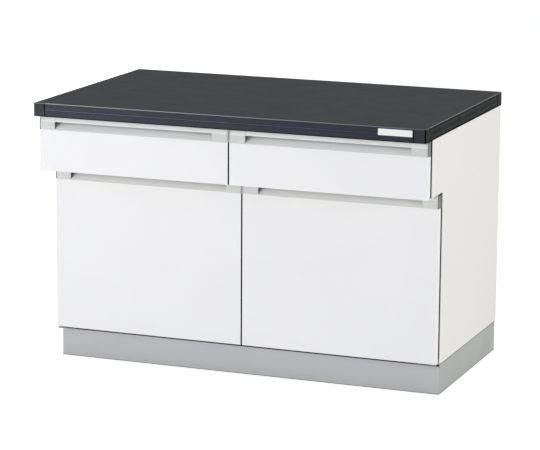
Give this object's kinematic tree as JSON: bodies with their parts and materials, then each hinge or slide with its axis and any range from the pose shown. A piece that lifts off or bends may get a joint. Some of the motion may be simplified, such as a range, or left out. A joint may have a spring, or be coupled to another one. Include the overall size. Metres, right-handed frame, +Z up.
{
  "type": "wall lab bench",
  "caption": "Laboratory wall bench: dark chemical-resistant worktop on a white cabinet with drawers standing forward over hinged doors, recessed grip handles and a grey plinth.",
  "frame": {"origin": "middle of the footprint, on the floor", "axes": "+X to the right seen from the front, +Y to the wall behind, +Z up"},
  "size_m": [1.2, 0.75, 0.8],
  "materials": {
    "worktop_surface": "charcoal chemical-resistant laminate, satin",
    "edge_plastic": "blue-black ribbed plastic edging",
    "core_board": "raw particle board",
    "carcass_white": "white melamine-faced board, satin",
    "front_white": "white laminated board, smooth satin",
    "handle_grey": "light grey moulded plastic, satin",
    "cap_grey": "mid grey moulded plastic",
    "plinth_grey": "grey laminated board, satin",
    "drawer_box": "pale laminated drawer board",
    "slide_steel": "zinc-plated rolled steel",
    "pivot_steel": "nickel-plated steel",
    "bush_plastic": "off-white nylon"
  },
  "bodies": {
    "carcass": {"back_panel": "carcass_white", "bottom_panel": "carcass_white", "centre_partition": "carcass_white", "corner_caps": "edge_plastic", "door_catches": "bush_plastic", "drawer_divider_left": "carcass_white", "drawer_divider_right": "carcass_white", "edge_band_back": "edge_plastic", "edge_band_front": "edge_plastic", "edge_band_left": "edge_plastic", "edge_band_right": "edge_plastic", "pivot_brackets_bottom": "pivot_steel", "pivot_pins": "pivot_steel", "pivot_plates_top": "pivot_steel", "plinth_back": "plinth_grey", "plinth_front": "plinth_grey", "plinth_left": "plinth_grey", "plinth_right": "plinth_grey", "shelf_left": "carcass_white", "shelf_pins": "pivot_steel", "shelf_right": "carcass_white", "side_panel_left": "carcass_white", "side_panel_right": "carcass_white", "slide_outer_rails": "slide_steel", "top_rail_back": "carcass_white", "top_rail_front": "carcass_white", "worktop_core": "core_board", "worktop_laminate": "worktop_surface", "worktop_screws": "pivot_steel"},
    "drawer_left": {"drawer_back_left": "drawer_box", "drawer_bottom_left": "drawer_box", "drawer_box_front_left": "drawer_box", "drawer_front_left": "front_white", "drawer_handle_caps_left": "cap_grey", "drawer_handle_left": "handle_grey", "drawer_sides_left": "drawer_box", "slide_inner_rails_left": "slide_steel"},
    "drawer_right": {"drawer_back_right": "drawer_box", "drawer_bottom_right": "drawer_box", "drawer_box_front_right": "drawer_box", "drawer_front_right": "front_white", "drawer_handle_caps_right": "cap_grey", "drawer_handle_right": "handle_grey", "drawer_sides_right": "drawer_box", "slide_inner_rails_right": "slide_steel"},
    "middle_rails_left": {"slide_middle_rails_left": "slide_steel"},
    "middle_rails_right": {"slide_middle_rails_right": "slide_steel"},
    "door_left": {"door_bushes_left": "bush_plastic", "door_handle_caps_left": "cap_grey", "door_handle_left": "handle_grey", "door_panel_left": "front_white", "strike_plate_left": "pivot_steel"},
    "door_right": {"door_bushes_right": "bush_plastic", "door_handle_caps_right": "cap_grey", "door_handle_right": "handle_grey", "door_panel_right": "front_white", "strike_plate_right": "pivot_steel"}
  },
  "joints": [
    {"name": "drawer_slide_left", "type": "slide", "parent": "carcass", "child": "drawer_left", "axis": [0, -1, 0], "range_m": [0, 0.4]},
    {"name": "middle_rail_slide_left", "type": "slide", "parent": "carcass", "child": "middle_rails_left", "axis": [0, -1, 0], "range_m": [0, 0.2]},
    {"name": "door_swing_left", "type": "hinge", "parent": "carcass", "child": "door_left", "pos_m": [-0.589, -0.2255, 0.343], "axis": [0, 0, -1], "range_deg": [0, 100]},
    {"name": "drawer_slide_right", "type": "slide", "parent": "carcass", "child": "drawer_right", "axis": [0, -1, 0], "range_m": [0, 0.4]},
    {"name": "middle_rail_slide_right", "type": "slide", "parent": "carcass", "child": "middle_rails_right", "axis": [0, -1, 0], "range_m": [0, 0.2]},
    {"name": "door_swing_right", "type": "hinge", "parent": "carcass", "child": "door_right", "pos_m": [0.589, -0.2255, 0.343], "axis": [0, 0, 1], "range_deg": [0, 100]}
  ],
  "couplings": [
    {"joint": "middle_rail_slide_left", "follows": "drawer_slide_left", "ratio": 0.5},
    {"joint": "middle_rail_slide_right", "follows": "drawer_slide_right", "ratio": 0.5}
  ]
}
